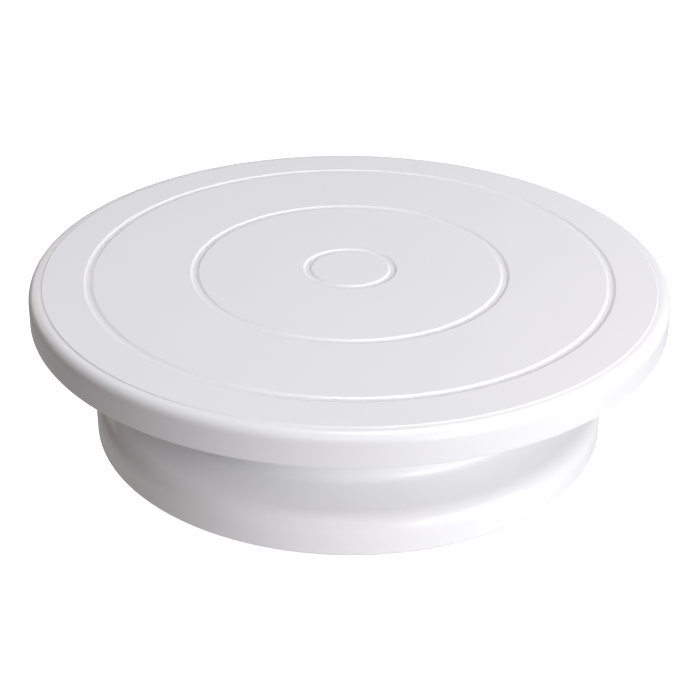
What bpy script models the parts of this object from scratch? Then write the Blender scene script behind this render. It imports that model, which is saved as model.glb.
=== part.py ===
"""A cake-decorating lazy susan: a ribbed plastic plate that spins on a ring of steel balls over a waisted base.

Metres, +Z up. The origin is on the table, on the spindle's axis, so every turned piece is centred on X = Y = 0.
The plate, its spindle and the retaining screw turn together. The ball cage and its balls run between two races.
"""

import math

import bmesh
import bpy
from mathutils import Matrix

MM = 0.001

# Driving dimensions.
PLATE_RADIUS = 140 * MM
HEIGHT = 73 * MM
FOOT_RADIUS = 114.7 * MM
NECK_RADIUS = 94.5 * MM
BALL_RADIUS = 3 * MM
BALL_COUNT = 12
PITCH_RADIUS = 34 * MM
SPINDLE_RADIUS = 5 * MM
WALL = 2.5 * MM

# Gaps: between two pieces that are fixed together, and between a ball and its race.
SEAT_GAP = 0.2 * MM
BALL_GAP = 0.1 * MM

# Facets around a full turn.
LARGE_TURN = 48
RACE_TURN = 36
SMALL_TURN = 24
PAD_TURN = 12

# Heights above the table, from the pads up to the plate.
RIM_BOTTOM = 1 * MM
COLUMN_BOTTOM = 5 * MM
BUSH_SHOULDER = 17.2 * MM
RACE_SEAT = 57.5 * MM
DECK_TOP = 60 * MM
BALL_CENTRE = 61.5 * MM
UPPER_SEAT = 65.6 * MM
PLATE_UNDERSIDE = HEIGHT - 2.8 * MM

# Rings that line up a cake: shallow channels in the plate's face, and the step where the face ends.
RING_RADII = (18.8 * MM, 68.2 * MM, 114.2 * MM)
RING_WIDTH = 3.6 * MM
RING_DEPTH = 0.5 * MM
FACE_RADIUS = 133.7 * MM
FACE_STEP = 0.4 * MM

# Sockets and pads under the base.
PAD_COUNT = 6
PAD_CIRCLE = 104.5 * MM
POST_RADIUS = 4.5 * MM
POST_BOTTOM = 2.6 * MM
PEG_HOLE_RADIUS = 2 * MM
PEG_HOLE_TOP = 8.2 * MM


def clear_scene():
    for obj in list(bpy.data.objects):
        bpy.data.objects.remove(obj)


def new_collection(name):
    collection = bpy.data.collections.new(name)
    bpy.context.scene.collection.children.link(collection)
    return collection


def new_material(name, colour, roughness, metallic=0.0):
    material = bpy.data.materials.new(name)
    material.use_nodes = True
    shader = material.node_tree.nodes["Principled BSDF"]
    shader.inputs["Base Color"].default_value = (*colour, 1)
    shader.inputs["Roughness"].default_value = roughness
    shader.inputs["Metallic"].default_value = metallic
    return material


def new_axis(name, collection):
    """An empty on the spindle's axis that the pieces of one rigid body are parented to."""
    axis = bpy.data.objects.new(name, None)
    collection.objects.link(axis)
    return axis


def arc(centre, radius, start, end, steps):
    """Points on an arc from start to end, in degrees from +X towards +Z."""
    angles = [math.radians(start + (end - start) * i / steps) for i in range(steps + 1)]
    return [(centre[0] + radius * math.cos(a), centre[1] + radius * math.sin(a)) for a in angles]


def cove(centre, radius, start, end, steps):
    """An arc seen from its hollow side: each point lies opposite the outward normal's angle."""
    return arc(centre, radius, start + 180, end + 180, steps)


def turned(name, profile, turn, material, parent=None, closed=True):
    """A solid turned about Z from (radius, height) points that run down its outer side."""
    mesh = bpy.data.meshes.new(name)
    count = len(profile)
    edges = [(i, (i + 1) % count) for i in range(count if closed else count - 1)]
    mesh.from_pydata([(radius, 0, height) for radius, height in profile], edges, [])
    obj = bpy.data.objects.new(name, mesh)
    obj.parent = parent
    screw = obj.modifiers.new("Turn", "SCREW")
    screw.axis = "Z"
    screw.angle = math.tau
    screw.steps = turn
    screw.render_steps = turn
    screw.use_smooth_shade = True
    screw.use_merge_vertices = True
    screw.merge_threshold = 0.00001
    mesh.materials.append(material)
    PIECES.objects.link(obj)
    return obj


def helper(name, collection, shape):
    """A hidden mesh that a Boolean adds or cuts. shape fills its bmesh."""
    mesh = bpy.data.meshes.new(name)
    solid = bmesh.new()
    shape(solid)
    solid.to_mesh(mesh)
    solid.free()
    obj = bpy.data.objects.new(name, mesh)
    obj.hide_render = True
    obj.display_type = "WIRE"
    collection.objects.link(obj)
    return obj


def cylinder(radius, bottom, top, turn, place=(0, 0)):
    """A shape for helper(): an upright cylinder between two heights."""

    def shape(solid):
        middle = Matrix.Translation((*place, (bottom + top) / 2))
        bmesh.ops.create_cone(
            solid, cap_ends=True, segments=turn, radius1=radius, radius2=radius, depth=top - bottom, matrix=middle
        )

    return shape


def block(size, middle, angle=0.0):
    """A shape for helper(): a box round a middle point, turned about Z."""

    def shape(solid):
        place = Matrix.Rotation(angle, 4, "Z") @ Matrix.Translation(middle)
        bmesh.ops.create_cube(solid, size=1, matrix=place @ Matrix.Diagonal((*size, 1)))

    return shape


def boolean(obj, operation, collection):
    modifier = obj.modifiers.new(collection.name, "BOOLEAN")
    modifier.operation = operation
    modifier.operand_type = "COLLECTION"
    modifier.collection = collection
    modifier.solver = "EXACT"


def around(count, start=0.0):
    """The angles of a number of equally spaced places."""
    return [start + math.tau * i / count for i in range(count)]


def on_circle(radius, angle):
    return radius * math.cos(angle), radius * math.sin(angle)


def plate():
    """The plate: a dished moulding with a skirt, a bearing seat, a hub round the spindle's collar and radial ribs."""
    shoulder = 4.5 * MM
    skirt_inside = 137 * MM
    skirt_bottom = HEIGHT - 14.5 * MM
    hub_bottom = 59.8 * MM
    face_end = (FACE_RADIUS, HEIGHT)
    ledge = (FACE_RADIUS + FACE_STEP, HEIGHT - FACE_STEP)

    top = [(0, HEIGHT)]
    for radius in RING_RADII:
        half = RING_WIDTH / 2
        top += [(radius - half, HEIGHT), (radius, HEIGHT - RING_DEPTH), (radius + half, HEIGHT)]
    centre = (PLATE_RADIUS - 0.3 * MM - shoulder, HEIGHT - FACE_STEP - shoulder)
    top += [face_end, ledge, *arc(centre, shoulder, 84, 0, 4)]
    skirt = [
        (PLATE_RADIUS, skirt_bottom + 0.8 * MM),
        (PLATE_RADIUS - 0.7 * MM, skirt_bottom),
        (skirt_inside + 1.1 * MM, skirt_bottom),
        (skirt_inside + 0.6 * MM, skirt_bottom + 0.6 * MM),
        (skirt_inside, PLATE_UNDERSIDE - 3 * MM),
        (skirt_inside - 3 * MM, PLATE_UNDERSIDE),
    ]
    seat_outside, seat_inside, lip = 41.5 * MM, 26.5 * MM, 1.2 * MM
    seat = [
        (seat_outside, PLATE_UNDERSIDE),
        (seat_outside, UPPER_SEAT - lip),
        (seat_outside - lip, UPPER_SEAT - lip),
        (seat_outside - lip, UPPER_SEAT),
        (seat_inside, UPPER_SEAT),
        (seat_inside, PLATE_UNDERSIDE),
    ]
    hub_radius = 12 * MM
    bore = SPINDLE_RADIUS + SEAT_GAP
    collar = COLLAR_RADIUS + SEAT_GAP
    hub = [
        (hub_radius, PLATE_UNDERSIDE),
        (hub_radius, hub_bottom),
        (bore, hub_bottom),
        (bore, COLLAR_BOTTOM - SEAT_GAP),
        (collar, COLLAR_BOTTOM - SEAT_GAP),
        (collar, COLLAR_TOP + SEAT_GAP),
        (bore, COLLAR_TOP + SEAT_GAP),
        (bore, SPINDLE_TOP + SEAT_GAP),
        (0, SPINDLE_TOP + SEAT_GAP),
    ]
    obj = turned("turntable_plate", top + skirt + seat + hub, LARGE_TURN, WHITE, TURNTABLE, closed=False)

    ribs = new_collection("plate_ribs")
    rib_height, rib_bottom = 5 * MM, PLATE_UNDERSIDE - 4 * MM
    start, end = hub_radius - 1 * MM, skirt_inside + 1 * MM
    for i, angle in enumerate(around(12, math.radians(15))):
        middle = ((start + end) / 2, 0, rib_bottom + rib_height / 2)
        helper(f"plate_rib_{i + 1}", ribs, block((end - start, 2 * MM, rib_height), middle, angle))
    boolean(obj, "UNION", ribs)


def base_outline():
    """The base's outer and inner lines, top to bottom and back up: a spool with a broad foot and a coved neck."""
    rim_bevel = 1.5 * MM
    round_centre = (FOOT_RADIUS - FOOT_ROUND, FOOT_WALL_TOP)
    cove_centre = (NECK_RADIUS + LOWER_COVE, NECK_HEIGHT)
    flare_centre = (NECK_RADIUS + UPPER_COVE, NECK_HEIGHT)
    outer = [
        *arc((RIM_RADIUS - rim_bevel, DECK_TOP - rim_bevel), rim_bevel, 90, 0, 1),
        *cove(flare_centre, UPPER_COVE, -FLARE_ANGLE, 0, 3),
        *cove(cove_centre, LOWER_COVE, 0, SLOPE_NORMAL, 4)[1:],
        *arc(round_centre, FOOT_ROUND, SLOPE_NORMAL, 0, 3),
        (FOOT_RADIUS, RIM_BOTTOM + 1 * MM),
        (FOOT_RADIUS - 1 * MM, RIM_BOTTOM),
    ]
    inner = [
        (FOOT_RADIUS - WALL, RIM_BOTTOM),
        *arc(round_centre, FOOT_ROUND - WALL, 0, SLOPE_NORMAL, 2),
        *cove(cove_centre, LOWER_COVE + WALL, SLOPE_NORMAL, 0, 2),
        *cove(flare_centre, UPPER_COVE + WALL, 0, -FLARE_ANGLE, 2)[1:],
        (RIM_RADIUS - WALL, DECK_TOP - WALL),
    ]
    return outer, inner


def base():
    """The base: a waisted shell with a recessed bearing seat, a centre column, ribs under the deck and posts for the pads."""
    seat_radius = RACE_OUTSIDE + 0.3 * MM
    bush_seat = BUSH_RADIUS + SEAT_GAP
    column_radius, column_foot = 17 * MM, 16.2 * MM
    relief = 7 * MM
    outer, inner = base_outline()
    column = [
        (seat_radius + WALL, DECK_TOP - WALL),
        (seat_radius + WALL, RACE_SEAT - WALL),
        (column_radius, RACE_SEAT - WALL),
        (column_foot, COLUMN_BOTTOM),
        (COUNTERBORE, COLUMN_BOTTOM),
        (COUNTERBORE, BUSH_SHOULDER),
        (bush_seat, BUSH_SHOULDER),
        (bush_seat, LOWER_BUSH_TOP + SEAT_GAP),
        (relief, LOWER_BUSH_TOP + SEAT_GAP),
        (relief, UPPER_BUSH_BOTTOM - SEAT_GAP),
        (bush_seat, UPPER_BUSH_BOTTOM - SEAT_GAP),
        (bush_seat, RACE_SEAT),
        (seat_radius, RACE_SEAT),
        (seat_radius, DECK_TOP),
    ]
    obj = turned("base_shell", outer + inner + column, LARGE_TURN, WHITE, BASE)

    bosses = new_collection("base_bosses")
    for i, angle in enumerate(around(PAD_COUNT)):
        helper(f"pad_post_{i + 1}", bosses, pad_post(angle))
    for i, angle in enumerate(around(8, math.radians(22.5))):
        deck_rib(f"deck_rib_{i + 1}", bosses, column_radius - 1 * MM, seat_radius + WALL / 2, angle)
    boolean(obj, "UNION", bosses)

    holes = new_collection("peg_holes")
    for i, angle in enumerate(around(PAD_COUNT)):
        place = on_circle(PAD_CIRCLE, angle)
        bottom = POST_BOTTOM - 1 * MM
        helper(f"peg_hole_{i + 1}", holes, cylinder(PEG_HOLE_RADIUS, bottom, PEG_HOLE_TOP, PAD_TURN, place))
    boolean(obj, "DIFFERENCE", holes)


def mid_wall_height(radius):
    """The height of the middle of the shell's wall, on the straight slope between the foot and the neck."""
    normal = math.radians(SLOPE_NORMAL)
    start_radius = FOOT_RADIUS - FOOT_ROUND + (FOOT_ROUND - WALL / 2) * math.cos(normal)
    start_height = FOOT_WALL_TOP + (FOOT_ROUND - WALL / 2) * math.sin(normal)
    return start_height + (start_radius - radius) / math.tan(normal)


def pad_post(angle):
    """A shape for helper(): a post whose top follows the slope of the wall that it grows from."""

    def shape(solid):
        top = FOOT_WALL_TOP
        cylinder(POST_RADIUS, POST_BOTTOM, top, PAD_TURN, on_circle(PAD_CIRCLE, angle))(solid)
        for vertex in solid.verts:
            if vertex.co.z > top - 0.1 * MM:
                vertex.co.z = mid_wall_height(math.hypot(vertex.co.x, vertex.co.y))

    return shape


def deck_rib(name, collection, inside, seat_wall, angle):
    """A rib under the deck, from the shell's wall to the column, where it deepens into a gusset."""
    outside, gusset_end = RIM_RADIUS - WALL / 2, 30 * MM
    bottom, gusset_bottom = 51 * MM, 38 * MM
    deck_middle, seat_middle = DECK_TOP - WALL / 2, RACE_SEAT - WALL / 2
    corners = [
        (inside, gusset_bottom),
        (gusset_end, bottom),
        (outside, bottom),
        (outside, deck_middle),
        (seat_wall, deck_middle),
        (seat_wall, seat_middle),
        (inside, seat_middle),
    ]
    outline = bpy.data.curves.new(name, "CURVE")
    outline.dimensions = "2D"
    outline.fill_mode = "BOTH"
    outline.extrude = 1 * MM
    spline = outline.splines.new("POLY")
    spline.points.add(len(corners) - 1)
    for point, (radius, height) in zip(spline.points, corners):
        point.co = (radius, height, 0, 1)
    spline.use_cyclic_u = True
    flat = bpy.data.objects.new(name + "_outline", outline)
    collection.objects.link(flat)
    bpy.context.view_layer.update()
    mesh = bpy.data.meshes.new_from_object(flat.evaluated_get(bpy.context.evaluated_depsgraph_get()))
    bpy.data.objects.remove(flat)

    def shape(solid):
        solid.from_mesh(mesh)
        bmesh.ops.remove_doubles(solid, verts=solid.verts, dist=0.00001)
        upright = Matrix.Rotation(angle, 4, "Z") @ Matrix.Rotation(math.pi / 2, 4, "X")
        bmesh.ops.transform(solid, matrix=upright, verts=solid.verts)

    helper(name, collection, shape)


def race(name, seat, direction, parent):
    """A hardened ring with a ball track. direction is +1 for the lower race, whose track faces up, and -1 for the upper."""
    track_radius = BALL_RADIUS + 0.3 * MM
    thickness = 1.7 * MM
    back = seat + direction * SEAT_GAP
    face = back + direction * thickness
    contact = BALL_CENTRE - direction * (BALL_RADIUS + BALL_GAP)
    centre = (PITCH_RADIUS, contact + direction * track_radius)
    reach = math.degrees(math.asin(abs(centre[1] - face) / track_radius))
    if direction > 0:
        track = arc(centre, track_radius, 180 + reach, 360 - reach, 6)
        profile = [(RACE_INSIDE, face), *track, (RACE_OUTSIDE, face), (RACE_OUTSIDE, back), (RACE_INSIDE, back)]
    else:
        track = arc(centre, track_radius, reach, 180 - reach, 6)
        profile = [(RACE_INSIDE, back), (RACE_OUTSIDE, back), (RACE_OUTSIDE, face), *track, (RACE_INSIDE, face)]
    turned(name, profile, RACE_TURN, STEEL, parent)


def ball_cage():
    """A flat nylon ring that keeps the balls evenly spaced, one in each round pocket."""
    half, bevel = 1 * MM, 0.4 * MM
    inside, outside = PITCH_RADIUS - 5 * MM, PITCH_RADIUS + 5 * MM
    profile = [
        (inside, BALL_CENTRE + half),
        (outside - bevel, BALL_CENTRE + half),
        (outside, BALL_CENTRE + half - bevel),
        (outside, BALL_CENTRE - half + bevel),
        (outside - bevel, BALL_CENTRE - half),
        (inside, BALL_CENTRE - half),
    ]
    obj = turned("ball_cage", profile, RACE_TURN, NYLON, CAGE)
    pockets = new_collection("cage_pockets")
    pocket_radius = BALL_RADIUS + 0.25 * MM
    for i, angle in enumerate(around(BALL_COUNT)):
        place = on_circle(PITCH_RADIUS, angle)
        shape = cylinder(pocket_radius, BALL_CENTRE - 2 * MM, BALL_CENTRE + 2 * MM, PAD_TURN, place)
        helper(f"pocket_{i + 1}", pockets, shape)
    boolean(obj, "DIFFERENCE", pockets)


def balls():
    """Steel balls, each with its poles on the radial axis that it rolls about."""
    mesh = bpy.data.meshes.new("ball")
    solid = bmesh.new()
    poles_to_x = Matrix.Rotation(math.pi / 2, 4, "Y")
    bmesh.ops.create_uvsphere(solid, u_segments=12, v_segments=6, radius=BALL_RADIUS, matrix=poles_to_x)
    solid.to_mesh(mesh)
    solid.free()
    mesh.shade_smooth()
    mesh.materials.append(STEEL)
    for i, angle in enumerate(around(BALL_COUNT)):
        obj = bpy.data.objects.new(f"ball_{i + 1:02d}", mesh)
        obj.parent = CAGE
        obj.location = (*on_circle(PITCH_RADIUS, angle), BALL_CENTRE)
        obj.rotation_euler.z = angle
        PIECES.objects.link(obj)


def spindle():
    """A steel pin with a collar moulded into the plate's hub and a tapped hole in its lower end."""
    tapped, hole_end = 2.5 * MM, 29 * MM
    profile = [
        (0, SPINDLE_TOP),
        (SPINDLE_RADIUS, SPINDLE_TOP),
        (SPINDLE_RADIUS, COLLAR_TOP),
        (COLLAR_RADIUS, COLLAR_TOP),
        (COLLAR_RADIUS, COLLAR_BOTTOM),
        (SPINDLE_RADIUS, COLLAR_BOTTOM),
        (SPINDLE_RADIUS, SPINDLE_BOTTOM + 0.5 * MM),
        (SPINDLE_RADIUS - 0.5 * MM, SPINDLE_BOTTOM),
        (tapped, SPINDLE_BOTTOM),
        (tapped, hole_end),
        (0, hole_end + 1.4 * MM),
    ]
    turned("spindle", profile, SMALL_TURN, STEEL, TURNTABLE, closed=False)


def bushes():
    """Two flanged bushes that guide the spindle at the ends of the column."""
    bore = SPINDLE_RADIUS + 0.08 * MM
    flange_radius, flange = 12 * MM, 1 * MM
    flange_low = RACE_SEAT + SEAT_GAP
    upper = [
        (bore, flange_low + flange),
        (flange_radius, flange_low + flange),
        (flange_radius, flange_low),
        (BUSH_RADIUS, flange_low),
        (BUSH_RADIUS, UPPER_BUSH_BOTTOM),
        (bore, UPPER_BUSH_BOTTOM),
    ]
    flange_high = BUSH_SHOULDER - SEAT_GAP
    lower = [
        (bore, LOWER_BUSH_TOP),
        (BUSH_RADIUS, LOWER_BUSH_TOP),
        (BUSH_RADIUS, flange_high),
        (flange_radius, flange_high),
        (flange_radius, flange_high - flange),
        (bore, flange_high - flange),
    ]
    turned("upper_bush", upper, SMALL_TURN, ACETAL, BASE)
    turned("lower_bush", lower, SMALL_TURN, ACETAL, BASE)


def ring_profile(inside, outside, top, thickness):
    return [(inside, top), (outside, top), (outside, top - thickness), (inside, top - thickness)]


def retainer():
    """What holds the plate on: a plain washer under the lower bush, a split spring washer and a pan-head screw."""
    hole, washer_thickness, spring_thickness = 2.7 * MM, 1.5 * MM, 1.2 * MM
    washer_top = SPINDLE_BOTTOM - SEAT_GAP
    turned("plain_washer", ring_profile(hole, 10 * MM, washer_top, washer_thickness), SMALL_TURN, STEEL, TURNTABLE)

    spring_top = washer_top - washer_thickness - SEAT_GAP
    head_radius = 4.7 * MM
    spring_profile = ring_profile(hole, head_radius, spring_top, spring_thickness)
    spring = turned("spring_washer", spring_profile, SMALL_TURN, STEEL, TURNTABLE)
    split = new_collection("washer_split")
    middle = ((hole + head_radius) / 2, 0, spring_top - spring_thickness / 2)
    helper("split", split, block((4 * MM, 0.8 * MM, 3 * MM), middle))
    boolean(spring, "DIFFERENCE", split)

    head_top = spring_top - spring_thickness - SEAT_GAP
    head_bottom, shank, tip = head_top - 3.2 * MM, 2.3 * MM, 27 * MM
    screw_profile = [
        (0, tip),
        (shank - 0.6 * MM, tip),
        (shank, tip - 0.8 * MM),
        (shank, head_top),
        (head_radius, head_top),
        (head_radius, head_top - 1.3 * MM),
        (head_radius - 0.5 * MM, head_bottom + 0.9 * MM),
        (head_radius - 1.6 * MM, head_bottom + 0.2 * MM),
        (0, head_bottom),
    ]
    screw = turned("retaining_screw", screw_profile, SMALL_TURN, STEEL, TURNTABLE, closed=False)
    recess = new_collection("screw_recess")
    depth, arm, width = 2 * MM, 5.2 * MM, 1 * MM
    middle = (0, 0, head_bottom + depth / 2 - 1 * MM / 2)
    cross = helper("cross_recess", recess, block((arm, width, depth + 1 * MM), middle))
    other_arm = cross.copy()
    other_arm.rotation_euler.z = math.pi / 2
    recess.objects.link(other_arm)
    boolean(screw, "DIFFERENCE", recess)


def screw_cover():
    """A round plug that snaps into the column's counterbore and hides the screw."""
    plug, plug_top, lip = COUNTERBORE - SEAT_GAP, COLUMN_BOTTOM + 4.2 * MM, 16 * MM
    lip_top = COLUMN_BOTTOM - SEAT_GAP
    profile = [
        (0, lip_top),
        (plug - 1.5 * MM, lip_top),
        (plug - 1.5 * MM, plug_top),
        (plug - 0.5 * MM, plug_top),
        (plug, plug_top - 1 * MM),
        (plug, lip_top),
        (lip, lip_top),
        (lip, lip_top - 0.8 * MM),
        (lip - 0.8 * MM, lip_top - 1.6 * MM),
        (0, lip_top - 1.6 * MM),
    ]
    turned("screw_cover", profile, SMALL_TURN, WHITE, BASE, closed=False)


def pads():
    """Soft pads whose pegs push into the posts. They are the only pieces that touch the table."""
    peg, radius, top = PEG_HOLE_RADIUS - SEAT_GAP, 6.5 * MM, POST_BOTTOM - SEAT_GAP
    profile = [
        (0, PEG_HOLE_TOP - 0.6 * MM),
        (peg - 0.5 * MM, PEG_HOLE_TOP - 0.6 * MM),
        (peg, PEG_HOLE_TOP - 1.6 * MM),
        (peg, top),
        (radius - 0.5 * MM, top),
        (radius, top - 0.7 * MM),
        (radius - 0.6 * MM, 0),
        (0, 0),
    ]
    for i, angle in enumerate(around(PAD_COUNT)):
        pad = turned(f"rubber_pad_{i + 1}", profile, PAD_TURN, RUBBER, BASE, closed=False)
        pad.location = (*on_circle(PAD_CIRCLE, angle), 0)


# The base's profile: a foot wall, a rounded shoulder, a straight slope, and a cove on each side of the neck.
FOOT_WALL_TOP = 9 * MM
FOOT_ROUND = 8.5 * MM
SLOPE_NORMAL = 67.5  # degrees above the horizontal
LOWER_COVE = 4 * MM
UPPER_COVE = 60 * MM
FLARE_ANGLE = 24  # degrees that the upper cove leans out
RIM_RADIUS = NECK_RADIUS + UPPER_COVE * (1 - math.cos(math.radians(FLARE_ANGLE)))
SLOPE_START = FOOT_RADIUS - FOOT_ROUND * (1 - math.cos(math.radians(SLOPE_NORMAL)))
SLOPE_END = NECK_RADIUS + LOWER_COVE * (1 - math.cos(math.radians(SLOPE_NORMAL)))
NECK_HEIGHT = (
    FOOT_WALL_TOP
    + (FOOT_ROUND + LOWER_COVE) * math.sin(math.radians(SLOPE_NORMAL))
    + (SLOPE_START - SLOPE_END) / math.tan(math.radians(SLOPE_NORMAL))
)

# Bearing pieces that meet more than one neighbour.
RACE_INSIDE = PITCH_RADIUS - 6 * MM
RACE_OUTSIDE = PITCH_RADIUS + 6 * MM
BUSH_RADIUS = 7.9 * MM
UPPER_BUSH_BOTTOM = 46 * MM
LOWER_BUSH_TOP = 26 * MM
COUNTERBORE = 13.5 * MM
COLLAR_RADIUS = 9 * MM
COLLAR_BOTTOM = 66 * MM
COLLAR_TOP = 68 * MM
SPINDLE_TOP = 69.4 * MM
SPINDLE_BOTTOM = 15.7 * MM

clear_scene()
PIECES = new_collection("cake_turntable")
WHITE = new_material("white_polypropylene", (0.86, 0.86, 0.87), 0.38)
STEEL = new_material("bearing_steel", (0.62, 0.62, 0.63), 0.25, 1.0)
NYLON = new_material("natural_nylon", (0.83, 0.81, 0.74), 0.45)
ACETAL = new_material("black_acetal", (0.03, 0.03, 0.03), 0.4)
RUBBER = new_material("grey_rubber", (0.32, 0.32, 0.33), 0.8)
BASE = new_axis("base_axis", PIECES)
TURNTABLE = new_axis("turntable_axis", PIECES)
CAGE = new_axis("cage_axis", PIECES)

base()
plate()
race("lower_race", RACE_SEAT, 1, BASE)
race("upper_race", UPPER_SEAT, -1, TURNTABLE)
ball_cage()
balls()
spindle()
bushes()
retainer()
screw_cover()
pads()
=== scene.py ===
"""A cake-decorating lazy susan: a white ringed plate that spins on a ball bearing over a waisted base."""

import math

import bmesh
import bpy
from mathutils import Matrix, Vector


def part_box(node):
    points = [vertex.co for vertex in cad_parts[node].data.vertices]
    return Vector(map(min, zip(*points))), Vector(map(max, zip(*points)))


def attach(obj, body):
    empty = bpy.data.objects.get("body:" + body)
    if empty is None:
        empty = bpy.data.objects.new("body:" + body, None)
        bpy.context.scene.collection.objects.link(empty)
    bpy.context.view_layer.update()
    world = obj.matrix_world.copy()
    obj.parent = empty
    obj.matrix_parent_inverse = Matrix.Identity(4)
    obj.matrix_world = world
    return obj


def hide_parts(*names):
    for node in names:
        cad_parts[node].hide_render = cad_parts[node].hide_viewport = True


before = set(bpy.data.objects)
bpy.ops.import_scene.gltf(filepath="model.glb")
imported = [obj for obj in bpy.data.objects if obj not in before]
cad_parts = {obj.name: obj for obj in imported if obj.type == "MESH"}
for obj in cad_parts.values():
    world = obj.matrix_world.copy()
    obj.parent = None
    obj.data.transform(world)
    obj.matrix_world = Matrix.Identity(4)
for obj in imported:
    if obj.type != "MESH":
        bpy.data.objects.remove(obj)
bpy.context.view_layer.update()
mm = 0.001


# --------------------------------------------------------------------------------------------------
# Base shell
# One injection moulding in white polypropylene: a broad foot, a slope, a coved neck and a flat deck. A
# column with eight ribs stands under the deck and carries the spindle's bushes, and six posts in the foot
# hold the pads.
# --------------------------------------------------------------------------------------------------

base_low, base_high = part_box("base_shell")
race_low, race_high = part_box("lower_race")
foot_radius = base_high.x
rim_bottom = base_low.z
deck_top = base_high.z
wall = 2.5 * mm
neck_radius = 94.5 * mm
rim_radius = 99.7 * mm
flare_top = 50.1 * mm
flare_round = 60 * mm
flare_slope = math.radians(24)
foot_slope = math.radians(20.7)
slope_foot = rim_bottom + 15.2 * mm
foot_round = 9.2 * mm
cove_round = 4 * mm
seat_floor = race_low.z - 0.2 * mm
seat_radius = race_high.x + 0.3 * mm
column_radius = 17 * mm
column_foot = 16.2 * mm
column_bottom = 5 * mm
cover_bore = 13.5 * mm
bush_seat = 8.1 * mm
bush_shoulder = 17.2 * mm
relief_radius = 7 * mm
relief_bottom, relief_top = 26.2 * mm, 45.8 * mm
rib_thickness = 2 * mm
pin_mark_radius, pin_mark_depth = 2.5 * mm, 0.15 * mm


def rounded(corners, closed=True):
    """The outline through (radius, height, rounding) corners, with an arc of that rounding at each.

    A long side gets a point near each of its ends, which keeps an arc's smooth shading off the flat.
    """
    degrees_a_step, long_side, flank = 7.5, 3 * mm, 0.25 * mm
    points = []
    for index, (radius, height, rounding) in enumerate(corners):
        corner = Vector((radius, height))
        is_end = not closed and index in (0, len(corners) - 1)
        if is_end or rounding == 0:
            points.append(corner)
            continue
        back = (Vector(corners[index - 1][:2]) - corner).normalized()
        ahead = (Vector(corners[(index + 1) % len(corners)][:2]) - corner).normalized()
        half = back.angle(ahead) / 2
        centre = corner + (back + ahead).normalized() * rounding / math.sin(half)
        spoke = corner + back * rounding / math.tan(half) - centre
        turn = math.pi - 2 * half
        if back.cross(ahead) > 0:
            turn = -turn
        steps = max(3, math.ceil(abs(math.degrees(turn)) / degrees_a_step))
        for step in range(steps + 1):
            points.append(centre + Matrix.Rotation(turn * step / steps, 2) @ spoke)
    outline = []
    for index, point in enumerate(points):
        outline.append(point)
        following = points[(index + 1) % len(points)]
        side = following - point
        is_last = not closed and index == len(points) - 1
        if side.length > long_side and not is_last:
            outline += [point + side.normalized() * flank, following - side.normalized() * flank]
    return outline


def inner_side(corners, thickness):
    """The corners of a wall's other side, a thickness to the right of the way that the outline runs."""
    moved = []
    for index, (radius, height, rounding) in enumerate(corners):
        corner = Vector((radius, height))
        before = Vector(corners[max(index - 1, 0)][:2])
        after = Vector(corners[min(index + 1, len(corners) - 1)][:2])
        arriving = (corner - before).normalized() if index else (after - corner).normalized()
        leaving = (after - corner).normalized() if after != corner else arriving
        sideways = Vector((arriving.y + leaving.y, -arriving.x - leaving.x)).normalized()
        half_turn = arriving.angle(leaving, 0) / 2
        reach = thickness / math.cos(half_turn)
        turns_right = arriving.cross(leaving) < 0
        inner_round = max(rounding - thickness, 0.4 * mm) if turns_right else rounding + thickness
        place = corner + sideways * reach
        moved.append((place.x, place.y, inner_round if rounding else 0))
    return moved


def turned(outline, steps=256):
    """A solid made by spinning an outline of (radius, height) points about the spindle's axis."""
    solid = bmesh.new()
    points = [solid.verts.new((radius, 0, height)) for radius, height in outline]
    touches_axis = points[0].co.x == 0
    following = points[1:] if touches_axis else points[1:] + points[:1]
    sides = [solid.edges.new(ends) for ends in zip(points, following)]
    bmesh.ops.spin(
        solid,
        geom=points + sides,
        axis=(0, 0, 1),
        cent=(0, 0, 0),
        dvec=(0, 0, 0),
        angle=math.tau,
        steps=steps,
        use_merge=True,
    )
    bmesh.ops.remove_doubles(solid, verts=solid.verts, dist=0.0001 * mm)
    bmesh.ops.recalc_face_normals(solid, faces=solid.faces)
    return solid


def combined(solid, operation, tool):
    """The solid with a tool joined to it or cut from it. Both bmeshes are used up."""
    workers = []
    for part in (solid, tool):
        mesh = bpy.data.meshes.new("worker")
        part.to_mesh(mesh)
        part.free()
        worker = bpy.data.objects.new("worker", mesh)
        bpy.context.scene.collection.objects.link(worker)
        workers.append(worker)
    modifier = workers[0].modifiers.new("combined", "BOOLEAN")
    modifier.operation = operation
    modifier.object = workers[1]
    modifier.solver = "EXACT"
    evaluated = workers[0].evaluated_get(bpy.context.evaluated_depsgraph_get())
    result = bmesh.new()
    result.from_mesh(evaluated.to_mesh())
    evaluated.to_mesh_clear()
    for worker in workers:
        bpy.data.objects.remove(worker)
    return result


def rounded_edges(solid, edges, width):
    """Rounds edges of a solid with three narrow facets each."""
    bmesh.ops.bevel(
        solid,
        geom=edges,
        offset=width,
        offset_type="OFFSET",
        affect="EDGES",
        segments=3,
        profile=0.5,
        material=-1,
    )


def around(count, start=0.0):
    """A number of turns about the spindle's axis, evenly spaced."""
    return [Matrix.Rotation(start + math.tau * index / count, 4, "Z") for index in range(count)]


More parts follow.
